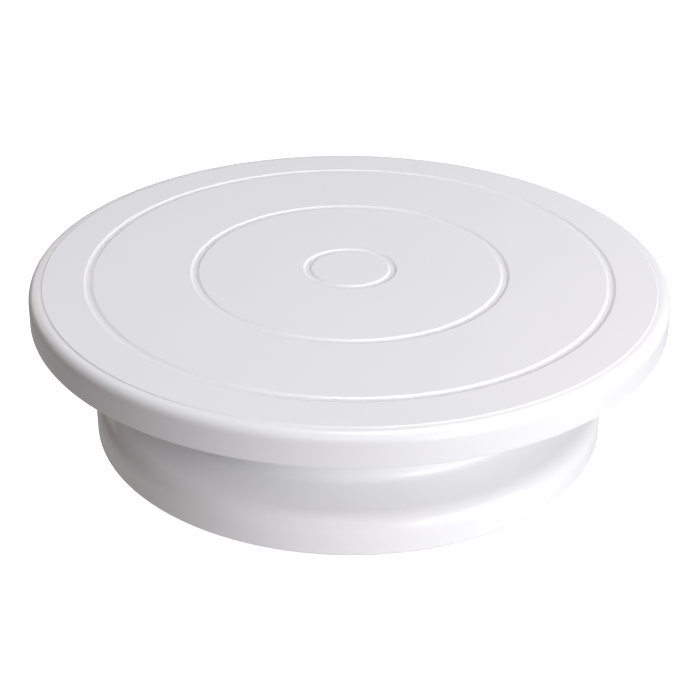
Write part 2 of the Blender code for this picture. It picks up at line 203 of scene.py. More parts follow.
def slab(outline, thickness, turns):
    """Upright slabs of an outline of (radius, height) points, one at each turn about the spindle's axis."""
    solid = bmesh.new()
    for turn in turns:
        corners = [solid.verts.new((radius, -thickness / 2, height)) for radius, height in outline]
        face = solid.faces.new(corners)
        grown = bmesh.ops.extrude_face_region(solid, geom=[face])["geom"]
        far_side = [item for item in grown if isinstance(item, bmesh.types.BMVert)]
        bmesh.ops.translate(solid, verts=far_side, vec=(0, thickness, 0))
        bmesh.ops.transform(solid, matrix=turn, verts=corners + far_side)
    bmesh.ops.recalc_face_normals(solid, faces=solid.faces)
    return solid


def upright_discs(radius, bottom, top, places, sides=32):
    """Upright cylinders between two heights, one at each (x, y) place."""
    solid = bmesh.new()
    for x, y in places:
        bmesh.ops.create_cone(
            solid,
            cap_ends=True,
            segments=sides,
            radius1=radius,
            radius2=radius,
            depth=top - bottom,
            matrix=Matrix.Translation((x, y, (bottom + top) / 2)),
        )
    return solid


def ring_of_places(radius, count, start=0.0):
    """(x, y) places evenly spaced on a circle about the spindle's axis."""
    return [(turn @ Vector((radius, 0, 0)))[:2] for turn in around(count, start)]


def new_node(tree, kind, inputs, **settings):
    """A node with its settings, and with each input given a value or joined to another node's output."""
    node = tree.nodes.new(kind)
    for setting, value in settings.items():
        setattr(node, setting, value)
    for socket, value in inputs.items():
        if isinstance(value, bpy.types.NodeSocket):
            tree.links.new(value, node.inputs[socket])
        else:
            node.inputs[socket].default_value = value
    return node


def math_node(tree, operation, first, second=0.5, third=0.5):
    """The result of a sum on one, two or three values or sockets."""
    return new_node(tree, "ShaderNodeMath", {0: first, 1: second, 2: third}, operation=operation).outputs[0]


def blended(tree, factor, first, second):
    """A colour that goes from the first to the second as the factor goes from 0 to 1."""
    inputs = {"Factor": factor, "A": first, "B": second}
    node = tree.nodes.new("ShaderNodeMix")
    node.data_type = "RGBA"
    sockets = {socket.name: socket for socket in node.inputs if socket.type == "RGBA"}
    sockets["Factor"] = node.inputs["Factor"]
    for name, value in inputs.items():
        if isinstance(value, bpy.types.NodeSocket):
            tree.links.new(value, sockets[name])
        else:
            sockets[name].default_value = value
    return next(socket for socket in node.outputs if socket.type == "RGBA")


def new_effect(name, inputs, outputs):
    """An empty node group with named sockets: (group, its inputs by name, its output node)."""
    group = bpy.data.node_groups.new(name, "ShaderNodeTree")
    for label, kind in inputs.items():
        group.interface.new_socket(label, in_out="INPUT", socket_type=kind)
    for label, kind in outputs.items():
        group.interface.new_socket(label, in_out="OUTPUT", socket_type=kind)
    return group, group.nodes.new("NodeGroupInput").outputs, group.nodes.new("NodeGroupOutput").inputs


def moulded_grain():
    """The fine satin that a sparked mould leaves, with a faint orange peel under it, as a height."""
    group, given, result = new_effect(
        "moulded grain",
        {"Place": "NodeSocketVector", "Grains a metre": "NodeSocketFloat", "Peel": "NodeSocketFloat"},
        {"Height": "NodeSocketFloat"},
    )
    place, grains = given["Place"], given["Grains a metre"]
    fine_inputs = {"Vector": place, "Scale": grains, "Detail": 2.0, "Roughness": 0.6}
    fine = new_node(group, "ShaderNodeTexNoise", fine_inputs)
    peel_scale = math_node(group, "MULTIPLY", grains, 0.07)
    peel = new_node(group, "ShaderNodeTexNoise", {"Vector": place, "Scale": peel_scale, "Detail": 1.0})
    peel_height = math_node(group, "MULTIPLY", peel.outputs["Fac"], given["Peel"])
    group.links.new(math_node(group, "ADD", fine.outputs["Fac"], peel_height), result["Height"])
    return group


def tone_drift():
    """The slow change of tone that a mould's flow and a few months of light leave in a plastic."""
    group, given, result = new_effect(
        "tone drift",
        {
            "Place": "NodeSocketVector",
            "Patches a metre": "NodeSocketFloat",
            "Tone": "NodeSocketColor",
            "Aged tone": "NodeSocketColor",
        },
        {"Color": "NodeSocketColor"},
    )
    patch_inputs = {"Vector": given["Place"], "Scale": given["Patches a metre"], "Detail": 3.0}
    patches = new_node(group, "ShaderNodeTexNoise", patch_inputs)
    spread_inputs = {"Value": patches.outputs["Fac"], "From Min": 0.3, "From Max": 0.7}
    spread = new_node(group, "ShaderNodeMapRange", spread_inputs)
    group.links.new(blended(group, spread.outputs[0], given["Tone"], given["Aged tone"]), result["Color"])
    return group


def turning_marks():
    """Thin broken arcs about the spindle's axis, such as a spatula or a lathe leaves, as a mask."""
    group, given, result = new_effect(
        "turning marks",
        {"Place": "NodeSocketVector", "Arcs a metre": "NodeSocketFloat", "Rarity": "NodeSocketFloat"},
        {"Mask": "NodeSocketFloat"},
    )
    flat = new_node(group, "ShaderNodeVectorMath", {0: given["Place"], 1: (1, 1, 0)}, operation="MULTIPLY")
    away = new_node(group, "ShaderNodeVectorMath", {0: flat.outputs[0]}, operation="LENGTH").outputs["Value"]
    heading = new_node(group, "ShaderNodeVectorMath", {0: flat.outputs[0]}, operation="NORMALIZE")
    heading_parts = new_node(group, "ShaderNodeSeparateXYZ", {0: heading.outputs[0]})
    arcs = math_node(group, "MULTIPLY", away, given["Arcs a metre"])
    x = math_node(group, "MULTIPLY", heading_parts.outputs[0], 3.0)
    y = math_node(group, "MULTIPLY", heading_parts.outputs[1], 3.0)
    polar = new_node(group, "ShaderNodeCombineXYZ", {0: x, 1: y, 2: arcs})
    streak_inputs = {"Vector": polar.outputs[0], "Scale": 1.0, "Detail": 4.0}
    streaks = new_node(group, "ShaderNodeTexNoise", streak_inputs)
    kept_inputs = {"Value": streaks.outputs["Fac"], "From Min": given["Rarity"], "From Max": 0.8}
    kept = new_node(group, "ShaderNodeMapRange", kept_inputs)
    group.links.new(kept.outputs[0], result["Mask"])
    return group


def rubbed_ring():
    """The polish that hands and a worktop give to one edge of a round piece, as a mask round that edge."""
    group, given, result = new_effect(
        "rubbed ring",
        {
            "Place": "NodeSocketVector",
            "Radius": "NodeSocketFloat",
            "Height": "NodeSocketFloat",
            "Width": "NodeSocketFloat",
        },
        {"Mask": "NodeSocketFloat"},
    )
    parts = new_node(group, "ShaderNodeSeparateXYZ", {0: given["Place"]})
    flat = new_node(group, "ShaderNodeVectorMath", {0: given["Place"], 1: (1, 1, 0)}, operation="MULTIPLY")
    away = new_node(group, "ShaderNodeVectorMath", {0: flat.outputs[0]}, operation="LENGTH").outputs["Value"]
    outwards = math_node(group, "SUBTRACT", away, given["Radius"])
    upwards = math_node(group, "SUBTRACT", parts.outputs[2], given["Height"])
    offset = new_node(group, "ShaderNodeCombineXYZ", {0: outwards, 1: upwards, 2: 0.0})
    distance = new_node(group, "ShaderNodeVectorMath", {0: offset.outputs[0]}, operation="LENGTH")
    patchy = new_node(group, "ShaderNodeTexNoise", {"Vector": given["Place"], "Scale": 60.0, "Detail": 3.0})
    reach = math_node(group, "MULTIPLY", given["Width"], math_node(group, "ADD", patchy.outputs["Fac"], 0.5))
    near = {"Value": distance.outputs["Value"], "From Max": reach, "To Min": 1.0, "To Max": 0.0}
    fade = new_node(group, "ShaderNodeMapRange", near, interpolation_type="SMOOTHSTEP")
    group.links.new(fade.outputs[0], result["Mask"])
    return group


grain_effect = moulded_grain()
drift_effect = tone_drift()
marks_effect = turning_marks()
ring_effect = rubbed_ring()


def new_material(name, **constants):
    """(material, its tree, its shader, the piece's own coordinates), with the shader's constants set."""
    material = bpy.data.materials.new(name)
    material.use_nodes = True
    tree = material.node_tree
    shader = tree.nodes["Principled BSDF"]
    for socket, value in constants.items():
        shader.inputs[socket.replace("_", " ").title().replace("Ior", "IOR")].default_value = value
    place = tree.nodes.new("ShaderNodeTexCoord").outputs["Object"]
    return material, tree, shader, place


def effect(tree, group, **inputs):
    """One of the shared effects, placed in a material with its own values."""
    node = tree.nodes.new("ShaderNodeGroup")
    node.node_tree = group
    for name, value in inputs.items():
        socket = node.inputs[name.replace("_", " ").capitalize()]
        if isinstance(value, bpy.types.NodeSocket):
            tree.links.new(value, socket)
        else:
            socket.default_value = value
    return node.outputs[0]


def white_polypropylene(name, rubbed_edges, marks_rarity, roughness=0.285):
    """Semi-gloss white moulding: fine grain, drifting tone, faint turning marks and rubbed edges."""
    material, tree, shader, place = new_material(name, ior=1.49)
    tone = effect(
        tree,
        drift_effect,
        place=place,
        patches_a_metre=9.0,
        tone=(0.815, 0.815, 0.83, 1),
        aged_tone=(0.80, 0.797, 0.80, 1),
    )
    marks = effect(tree, marks_effect, place=place, arcs_a_metre=2600.0, rarity=marks_rarity)
    soiled = blended(tree, math_node(tree, "MULTIPLY", marks, 0.12), tone, (0.70, 0.70, 0.70, 1))
    polish = 0.0
    for radius, height, width in rubbed_edges:
        edge = effect(tree, ring_effect, place=place, radius=radius, height=height, width=width)
        polish = math_node(tree, "MAXIMUM", edge, polish)
    patches = new_node(tree, "ShaderNodeTexNoise", {"Vector": place, "Scale": 24.0, "Detail": 4.0})
    uneven = math_node(tree, "MULTIPLY_ADD", patches.outputs["Fac"], 0.06, roughness)
    marked = math_node(tree, "MULTIPLY_ADD", marks, 0.08, uneven)
    worn = math_node(tree, "MAXIMUM", math_node(tree, "MULTIPLY_ADD", polish, -0.03, marked), roughness)
    grain = effect(tree, grain_effect, place=place, grains_a_metre=5200.0, peel=2.0)
    height = math_node(tree, "MULTIPLY_ADD", marks, -0.3, grain)
    bump = new_node(tree, "ShaderNodeBump", {"Strength": 0.14, "Distance": 0.02 * mm, "Height": height})
    tree.links.new(soiled, shader.inputs["Base Color"])
    tree.links.new(worn, shader.inputs["Roughness"])
    tree.links.new(bump.outputs["Normal"], shader.inputs["Normal"])
    return material


def piece(name, solid, material, body, nodes):
    """The finished object, smooth with crisp edges, riding on its body in place of its plain solids."""
    mesh = bpy.data.meshes.new(name)
    solid.to_mesh(mesh)
    solid.free()
    mesh.shade_smooth()
    mesh.set_sharp_from_angle(angle=math.radians(38))
    mesh.materials.append(material)
    made = bpy.data.objects.new(name, mesh)
    bpy.context.scene.collection.objects.link(made)
    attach(made, body)
    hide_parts(*nodes)
    return made


neck_foot = slope_foot + (foot_radius - neck_radius) * math.tan(foot_slope)
flare_foot = flare_top - (rim_radius - neck_radius) / math.tan(flare_slope)
skin = [
    (seat_radius + wall, deck_top, 0),
    (rim_radius, deck_top, 1.5 * mm),
    (rim_radius, flare_top, 12 * mm),
    (neck_radius, flare_foot, flare_round * 0.9),
    (neck_radius, neck_foot, cove_round),
    (foot_radius, slope_foot, foot_round),
    (foot_radius, rim_bottom, 0),
]
lining = inner_side(skin, wall)
rim = [(foot_radius, rim_bottom, 1.1 * mm), (foot_radius - wall, rim_bottom, 0.9 * mm)]
column = [
    (seat_radius + wall, seat_floor - wall, 0.6 * mm),
    (column_radius, seat_floor - wall, 1.5 * mm),
    (column_foot, column_bottom, 0.4 * mm),
    (cover_bore, column_bottom, 0.4 * mm),
    (cover_bore, bush_shoulder, 0),
    (bush_seat, bush_shoulder, 0.3 * mm),
    (bush_seat, relief_bottom, 0),
    (relief_radius, relief_bottom, 0.2 * mm),
    (relief_radius, relief_top, 0.2 * mm),
    (bush_seat, relief_top, 0),
    (bush_seat, seat_floor, 0.3 * mm),
    (seat_radius, seat_floor, 0.3 * mm),
    (seat_radius, deck_top, 0.5 * mm),
]
shell_outline = rounded(skin[1:-1] + rim + lining[-2:0:-1] + [lining[0]] + column)

rib_turns = around(8, math.radians(22.5))
rib_bottom, rib_underside = 38 * mm, 51 * mm
rib_outline = [
    (column_radius - 1 * mm, rib_bottom),
    (30 * mm, rib_underside),
    (rim_radius - wall / 2, rib_underside),
    (rim_radius - wall / 2, deck_top - wall / 2),
    (seat_radius + wall / 2, deck_top - wall / 2),
    (seat_radius + wall / 2, seat_floor - wall / 2),
    (column_radius - 1 * mm, seat_floor - wall / 2),
]
pad_circle = 104.5 * mm
post_bottom = 2.6 * mm
pad_places = ring_of_places(pad_circle, 6)
posts = upright_discs(4.5 * mm, post_bottom, slope_foot, pad_places)
for corner in posts.verts:
    if corner.co.z > slope_foot - 0.1 * mm:
        away = math.hypot(corner.co.x, corner.co.y)
        corner.co.z = slope_foot + (foot_radius - away) * math.tan(foot_slope) - wall / 2
post_rims = [
    edge
    for edge in posts.edges
    if max(end.co.z for end in edge.verts) < post_bottom + 0.1 * mm and len(edge.link_faces) == 2
]
rounded_edges(posts, post_rims, 0.4 * mm)

shell = combined(turned(shell_outline), "UNION", slab(rib_outline, rib_thickness, rib_turns))
shell = combined(shell, "UNION", posts)
peg_holes = upright_discs(2 * mm, post_bottom - 1 * mm, 8.2 * mm, pad_places)
shell = combined(shell, "DIFFERENCE", peg_holes)
pin_marks = upright_discs(
    pin_mark_radius,
    deck_top - wall - 1 * mm,
    deck_top - wall + pin_mark_depth,
    ring_of_places(58 * mm, 8) + ring_of_places(84 * mm, 8),
)
shell = combined(shell, "DIFFERENCE", pin_marks)
base_white = white_polypropylene(
    "white polypropylene, base",
    [(foot_radius, rim_bottom, 2.5 * mm), (rim_radius, deck_top, 2 * mm)],
    marks_rarity=0.68,
)
piece("base_shell_moulding", shell, base_white, "base", ["base_shell"])


# --------------------------------------------------------------------------------------------------
# Bearing races
# Two hardened steel rings with a ground ball track. The lower one lies in the deck's recess with its track
# up, and the upper one is pressed into the plate's seat with its track down.
# --------------------------------------------------------------------------------------------------

ball_low, ball_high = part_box("ball_01")
ball_radius = (ball_high.x - ball_low.x) / 2
ball_middle = (ball_high.z + ball_low.z) / 2
pitch_radius = (ball_high.x + ball_low.x) / 2
track_radius = ball_radius + 0.3 * mm
track_play = 0.1 * mm


def ground_steel(name, arcs_a_metre, roughness):
    """Bare hardened steel with fine grinding arcs, a film of grease and a little straw tint."""
    material, tree, shader, place = new_material(name, metallic=1.0)
    tone = effect(
        tree,
        drift_effect,
        place=place,
        patches_a_metre=160.0,
        tone=(0.62, 0.62, 0.63, 1),
        aged_tone=(0.56, 0.54, 0.50, 1),
    )
    marks = effect(tree, marks_effect, place=place, arcs_a_metre=arcs_a_metre, rarity=0.35)
    grease = new_node(tree, "ShaderNodeTexNoise", {"Vector": place, "Scale": 220.0, "Detail": 2.0})
    greased = math_node(tree, "MULTIPLY_ADD", grease.outputs["Fac"], 0.14, roughness - 0.07)
    rough = math_node(tree, "MULTIPLY_ADD", marks, 0.12, greased)
    bump = new_node(tree, "ShaderNodeBump", {"Strength": 0.2, "Distance": 0.005 * mm, "Height": marks})
    tree.links.new(tone, shader.inputs["Base Color"])
    tree.links.new(rough, shader.inputs["Roughness"])
    tree.links.new(bump.outputs["Normal"], shader.inputs["Normal"])
    return material


def race_outline(low, high, faces_up):
    """A ring's outline from its box, with the track's arc cut in the face that meets the balls."""
    edge = 0.35 * mm
    inside = 2 * pitch_radius - high.x
    face, back = (high.z, low.z) if faces_up else (low.z, high.z)
    way = 1 if faces_up else -1
    centre = Vector((pitch_radius, ball_middle - way * (ball_radius + track_play - track_radius)))
    half_width = math.sqrt(track_radius**2 - (centre.y - face) ** 2)
    reach = math.asin(half_width / track_radius)
    steps = 16
    track = []
    for step in range(steps + 1):
        angle = -reach + 2 * reach * step / steps
        sideways, deep = track_radius * math.sin(angle), track_radius * math.cos(angle)
        track.append((centre.x + sideways, centre.y - way * deep, 0))
    return rounded(
        [
            (inside, face, edge),
            *track,
            (high.x, face, edge),
            (high.x, back, edge),
            (inside, back, edge),
        ]
    )


race_steel = ground_steel("ground bearing steel", 9000.0, 0.36)
for name, body in (("lower_race", "base"), ("upper_race", "turntable")):
    low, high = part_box(name)
    outline = race_outline(low, high, faces_up=name == "lower_race")
    piece(name + "_ground", turned(outline, 128), race_steel, body, [name])


# --------------------------------------------------------------------------------------------------
# Balls and cage
# Twelve chrome steel balls in a flat nylon cage, which keeps them apart and turns at half the plate's speed.
# The pockets are a little wider than the balls, and each has a chamfered mouth on both faces.
# --------------------------------------------------------------------------------------------------

cage_low, cage_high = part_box("ball_cage")
cage_outside = cage_high.x
cage_inside = 2 * pitch_radius - cage_outside
pocket_radius = ball_radius + 0.2 * mm
ball_count = sum(name.startswith("ball_") and name != "ball_cage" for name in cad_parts)


def moulded_nylon():
    """Natural nylon, off-white and slightly waxy, stained a little by grease."""
    material, tree, shader, place = new_material("natural nylon", ior=1.53)
    tone = effect(
        tree,
        drift_effect,
        place=place,
        patches_a_metre=120.0,
        tone=(0.83, 0.81, 0.74, 1),
        aged_tone=(0.72, 0.68, 0.56, 1),
    )
    grain = effect(tree, grain_effect, place=place, grains_a_metre=9000.0, peel=1.0)
    wear = new_node(tree, "ShaderNodeTexNoise", {"Vector": place, "Scale": 300.0, "Detail": 2.0})
    rough = math_node(tree, "MULTIPLY_ADD", wear.outputs["Fac"], 0.2, 0.35)
    bump = new_node(tree, "ShaderNodeBump", {"Strength": 0.2, "Distance": 0.02 * mm, "Height": grain})
    tree.links.new(tone, shader.inputs["Base Color"])
    tree.links.new(rough, shader.inputs["Roughness"])
    tree.links.new(bump.outputs["Normal"], shader.inputs["Normal"])
    return material


cage_edge = 0.4 * mm
cage_outline = rounded(
    [
        (cage_inside, cage_high.z, cage_edge),
        (cage_outside, cage_high.z, cage_edge),
        (cage_outside, cage_low.z, cage_edge),
        (cage_inside, cage_low.z, cage_edge),
    ]
)
pocket_places = ring_of_places(pitch_radius, ball_count)
pockets = upright_discs(pocket_radius, cage_low.z - 1 * mm, cage_high.z + 1 * mm, pocket_places, sides=48)
for height, tip in ((cage_low.z, math.pi), (cage_high.z, 0)):
    for x, y in pocket_places:
        bmesh.ops.create_cone(
            pockets,
            cap_ends=True,
            segments=48,
            radius1=pocket_radius - 0.2 * mm,
            radius2=pocket_radius + 0.6 * mm,
            depth=0.8 * mm,
            matrix=Matrix.Translation((x, y, height)) @ Matrix.Rotation(tip, 4, "X"),
        )
cage = combined(turned(cage_outline, 128), "DIFFERENCE", pockets)
piece("ball_cage_moulding", cage, moulded_nylon(), "ball_cage", ["ball_cage"])

ball_steel = ground_steel("polished ball steel", 20000.0, 0.10)
for index, turn in enumerate(around(ball_count)):
    ball = bmesh.new()
    place = turn @ Matrix.Translation((pitch_radius, 0, ball_middle)) @ Matrix.Rotation(math.pi / 2, 4, "Y")
    bmesh.ops.create_uvsphere(ball, u_segments=48, v_segments=24, radius=ball_radius, matrix=place)
    node = f"ball_{index + 1:02d}"
    piece(node + "_polished", ball, ball_steel, node, [node])


# --------------------------------------------------------------------------------------------------
# Spindle bushes
# Two flanged bushes turned from black acetal, pushed into the ends of the base's column. The spindle runs in
# them, and the lower flange takes the thrust washer.
# --------------------------------------------------------------------------------------------------

bush_bore = 5.08 * mm
bush_radius = 7.9 * mm
flange_thickness = 1 * mm


def satin_acetal():
    """Black acetal with the fine feed marks of turning, rubbed brighter in places."""
    material, tree, shader, place = new_material("black acetal", ior=1.48)
    tone = effect(
        tree,
        drift_effect,
        place=place,
        patches_a_metre=200.0,
        tone=(0.022, 0.022, 0.024, 1),
        aged_tone=(0.045, 0.043, 0.042, 1),
    )
    marks = effect(tree, marks_effect, place=place, arcs_a_metre=14000.0, rarity=0.3)
    rough = math_node(tree, "MULTIPLY_ADD", marks, 0.2, 0.34)
    bump = new_node(tree, "ShaderNodeBump", {"Strength": 0.3, "Distance": 0.01 * mm, "Height": marks})
    tree.links.new(tone, shader.inputs["Base Color"])
    tree.links.new(rough, shader.inputs["Roughness"])
    tree.links.new(bump.outputs["Normal"], shader.inputs["Normal"])
    return material


def bush_outline(low, high, flange_up):
    """A bush's outline from its box, with its flange at one end and a lead-in at the other."""
    edge, lead = 0.25 * mm, 0.8 * mm
    flange, tail = (high.z, low.z) if flange_up else (low.z, high.z)
    shoulder = flange - flange_thickness if flange_up else flange + flange_thickness
    return rounded(
        [
            (bush_bore, flange, edge),
            (high.x, flange, edge),
            (high.x, shoulder, edge),
            (bush_radius, shoulder, 0.15 * mm),
            (bush_radius, tail, lead),
            (bush_bore, tail, edge),
        ]
    )


acetal = satin_acetal()
for name in ("upper_bush", "lower_bush"):
    low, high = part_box(name)
    outline = bush_outline(low, high, flange_up=name == "upper_bush")
    piece(name + "_turned", turned(outline, 96), acetal, "base", [name])


# --------------------------------------------------------------------------------------------------
# Turntable plate
# One injection moulding in the same white polypropylene. Its face has three channels for lining up a cake,
# then a fine step and a rounded shoulder down to the skirt. Twelve ribs, the race's seat and the hub stand
# underneath.
# --------------------------------------------------------------------------------------------------

plate_low, plate_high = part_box("turntable_plate")
spindle_low, spindle_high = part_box("spindle")
plate_radius = plate_high.x
face_height = plate_high.z
skirt_bottom = plate_low.z
ring_radii = [18.8 * mm, 68.2 * mm, 114.2 * mm]
ring_half, ring_floor_half = 2.0 * mm, 0.8 * mm
ring_depth, ring_round = 0.42 * mm, 0.7 * mm
face_radius = 133.7 * mm
step_depth = 0.4 * mm
shoulder_round = 4.4 * mm
underside = face_height - 2.8 * mm
skirt_inside = 137 * mm
upper_seat = 65.6 * mm
seat_lip = 1.2 * mm
seat_outside, seat_bore, seat_inside = 41.5 * mm, 40.3 * mm, 26.5 * mm
hub_radius, hub_bottom = 12 * mm, 59.8 * mm
hub_play = 0.2 * mm
plate_rib_drop = 4 * mm
spindle_radius = 5 * mm
hub_bore = spindle_radius + hub_play
collar_bottom, collar_top = 66 * mm, 68 * mm

face_corners = [(0, face_height, 0)]
for radius in ring_radii:
    face_corners += [
        (radius - ring_half, face_height, ring_round),
        (radius - ring_floor_half, face_height - ring_depth, ring_round),
        (radius + ring_floor_half, face_height - ring_depth, ring_round),
        (radius + ring_half, face_height, ring_round),
    ]
face_corners += [
    (face_radius, face_height, 0.3 * mm),
    (face_radius + 0.5 * mm, face_height - step_depth, 0.3 * mm),
    (plate_radius - 0.3 * mm, face_height - step_depth - 0.05 * mm, shoulder_round),
]
skirt_corners = [
    (plate_radius, skirt_bottom, 0.7 * mm),
    (skirt_inside + 1.1 * mm, skirt_bottom, 0.5 * mm),
    (skirt_inside, underside, 3 * mm),
]
seat_corners = [
    (seat_outside, underside, 0.8 * mm),
    (seat_outside, upper_seat - seat_lip, 0.3 * mm),
    (seat_bore, upper_seat - seat_lip, 0.3 * mm),
    (seat_bore, upper_seat, 0.2 * mm),
    (seat_inside, upper_seat, 0.4 * mm),
    (seat_inside, underside, 0.8 * mm),
]
hub_corners = [
    (hub_radius, underside, 1.5 * mm),
    (hub_radius, hub_bottom, 0.5 * mm),
    (hub_bore, hub_bottom, 0.4 * mm),
    (hub_bore, collar_bottom - hub_play, 0),
    (spindle_high.x + hub_play, collar_bottom - hub_play, 0),
    (spindle_high.x + hub_play, collar_top + hub_play, 0),
    (hub_bore, collar_top + hub_play, 0),
    (hub_bore, spindle_high.z + hub_play, 0),
    (0, spindle_high.z + hub_play, 0),
]
plate = turned(rounded(face_corners + skirt_corners + seat_corners + hub_corners, closed=False), 360)

plate_rib = [
    (hub_radius - 1 * mm, underside - plate_rib_drop),
    (skirt_inside + 1 * mm, underside - plate_rib_drop),
    (skirt_inside + 1 * mm, underside + 1 * mm),
    (hub_radius - 1 * mm, underside + 1 * mm),
]
plate = combined(plate, "UNION", slab(plate_rib, rib_thickness, around(12, math.radians(15))))
plate_marks = upright_discs(
    pin_mark_radius,
    underside - 1 * mm,
    underside + pin_mark_depth,
    ring_of_places(60 * mm, 12) + ring_of_places(96 * mm, 12) + ring_of_places(126 * mm, 12),
)
plate = combined(plate, "DIFFERENCE", plate_marks)
plate_white = white_polypropylene(
    "white polypropylene, plate",
    [(plate_radius, skirt_bottom, 3 * mm), (plate_radius - 1.5 * mm, face_height - 2 * mm, 3 * mm)],
    marks_rarity=0.68,
)
piece("turntable_plate_moulding", plate, plate_white, "turntable", ["turntable_plate"])


# --------------------------------------------------------------------------------------------------
# Spindle
# A turned steel pin, zinc plated. Its collar is moulded into the plate's hub, and its lower end is tapped
# for the retaining screw.
# --------------------------------------------------------------------------------------------------

tapped_radius = 2.5 * mm
tapped_end = 29 * mm


def zinc_plate():
    """Bright zinc plating: cool grey with a faint yellow passivation and fine turning marks under it."""
    material, tree, shader, place = new_material("bright zinc plate", metallic=1.0)
    tone = effect(
        tree,
        drift_effect,
        place=place,
        patches_a_metre=240.0,
        tone=(0.66, 0.68, 0.71, 1),
        aged_tone=(0.68, 0.65, 0.55, 1),
    )
    marks = effect(tree, marks_effect, place=place, arcs_a_metre=12000.0, rarity=0.35)
    rough = math_node(tree, "MULTIPLY_ADD", marks, 0.2, 0.22)
    bump = new_node(tree, "ShaderNodeBump", {"Strength": 0.25, "Distance": 0.008 * mm, "Height": marks})
    tree.links.new(tone, shader.inputs["Base Color"])
    tree.links.new(rough, shader.inputs["Roughness"])
    tree.links.new(bump.outputs["Normal"], shader.inputs["Normal"])
    return material


zinc = zinc_plate()
spindle_outline = rounded(
    [
        (0, spindle_high.z, 0),
        (spindle_radius, spindle_high.z, 0.4 * mm),
        (spindle_radius, collar_top, 0.1 * mm),
        (spindle_high.x, collar_top, 0.3 * mm),
        (spindle_high.x, collar_bottom, 0.3 * mm),
        (spindle_radius, collar_bottom, 0.1 * mm),
        (spindle_radius, spindle_low.z, 0.5 * mm),
        (tapped_radius, spindle_low.z, 0.4 * mm),
        (tapped_radius, tapped_end, 0),
        (0, tapped_end + 1.4 * mm, 0),
    ],
    closed=False,
)
piece("spindle_turned", turned(spindle_outline, 96), zinc, "turntable", ["spindle"])


# --------------------------------------------------------------------------------------------------
# Washers and retaining screw
# A plain thrust washer, a split spring washer and a pan-head cross-recess screw, all zinc plated. The screw
# pulls the washers up against the spindle's end and holds the plate on the base.
# --------------------------------------------------------------------------------------------------

washer_low, washer_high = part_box("plain_washer")
spring_low, spring_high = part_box("spring_washer")
screw_low, screw_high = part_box("retaining_screw")
washer_hole = 2.7 * mm
thread_pitch = 0.8 * mm
thread_root, thread_crest = 2.0 * mm, 2.4 * mm
thread_sides = 24
head_radius, head_height = 4.7 * mm, 3.2 * mm
recess_length, recess_width, recess_taper = 5.2 * mm, 1 * mm, 0.6

washer_outline = rounded(
    [
        (washer_hole, washer_high.z, 0.2 * mm),
        (washer_high.x, washer_high.z, 0.35 * mm),
        (washer_high.x, washer_low.z, 0.15 * mm),
        (washer_hole, washer_low.z, 0.15 * mm),
    ]
)
washer = turned(washer_outline, 96)
piece("plain_washer_stamped", washer, zinc, "turntable", ["plain_washer"])


def helix(section, turns, sides, rise):
    """A section of (radius, height) points swept about the spindle's axis, with a rise for each turn."""
    solid = bmesh.new()
    corners = [solid.verts.new((radius, 0, height)) for radius, height in section]
    face = solid.faces.new(corners)
    steps = round(turns * sides)
    bmesh.ops.spin(
        solid,
        geom=[face],
        axis=(0, 0, 1),
        cent=(0, 0, 0),
        dvec=(0, 0, rise / sides),
        angle=math.tau * turns,
        steps=steps,
        use_merge=False,
    )
    bmesh.ops.recalc_face_normals(solid, faces=solid.faces)
    return solid


spring_rise = 0.3 * mm
spring_thickness = spring_high.z - spring_low.z - spring_rise
spring_section = [
    (washer_hole, spring_low.z),
    (spring_high.x, spring_low.z),
    (spring_high.x, spring_low.z + spring_thickness),
    (washer_hole, spring_low.z + spring_thickness),
]
spring = helix(spring_section, turns=0.965, sides=96, rise=spring_rise)
bmesh.ops.rotate(spring, verts=spring.verts, matrix=Matrix.Rotation(math.radians(6), 3, "Z"))
rounded_edges(spring, [edge for edge in spring.edges if edge.calc_face_angle(0) > 1], 0.12 * mm)
piece("spring_washer_coiled", spring, zinc, "turntable", ["spring_washer"])

head_top = screw_low.z + head_height
screw_outline = rounded(
    [
        (0, screw_high.z, 0),
        (1.5 * mm, screw_high.z, 0.2 * mm),
        (thread_root, screw_high.z - 0.8 * mm, 0.2 * mm),
        (thread_root, head_top, 0.1 * mm),
        (head_radius, head_top, 0.2 * mm),
        (head_radius, screw_low.z, 2.2 * mm),
        (0, screw_low.z, 0),
    ],
    closed=False,
)
screw = turned(screw_outline, 96)
tooth = [
    (thread_root - 0.2 * mm, head_top + 0.9 * mm),
    (thread_crest, head_top + 1.25 * mm),
    (thread_root - 0.2 * mm, head_top + 1.6 * mm),
]
thread_turns = math.floor((screw_high.z - head_top - 3 * mm) / thread_pitch)
screw = combined(screw, "UNION", helix(tooth, thread_turns, thread_sides, thread_pitch))
for along, across in ((recess_length, recess_width), (recess_width, recess_length)):
    arm = bmesh.new()
    size = Matrix.Diagonal((along, across, 4 * mm, 1))
    bmesh.ops.create_cube(arm, size=1, matrix=Matrix.Translation((0, 0, screw_low.z)) @ size)
    for corner in arm.verts:
        if corner.co.z > screw_low.z:
            corner.co.x *= recess_taper
            corner.co.y *= recess_taper
    screw = combined(screw, "DIFFERENCE", arm)
piece("retaining_screw_threaded", screw, zinc, "turntable", ["retaining_screw"])


# --------------------------------------------------------------------------------------------------
# Screw cover
# A white polypropylene plug that snaps into the column's counterbore and hides the screw. It has a notch for
# a thumbnail and the small round mark of its moulding gate.
# --------------------------------------------------------------------------------------------------

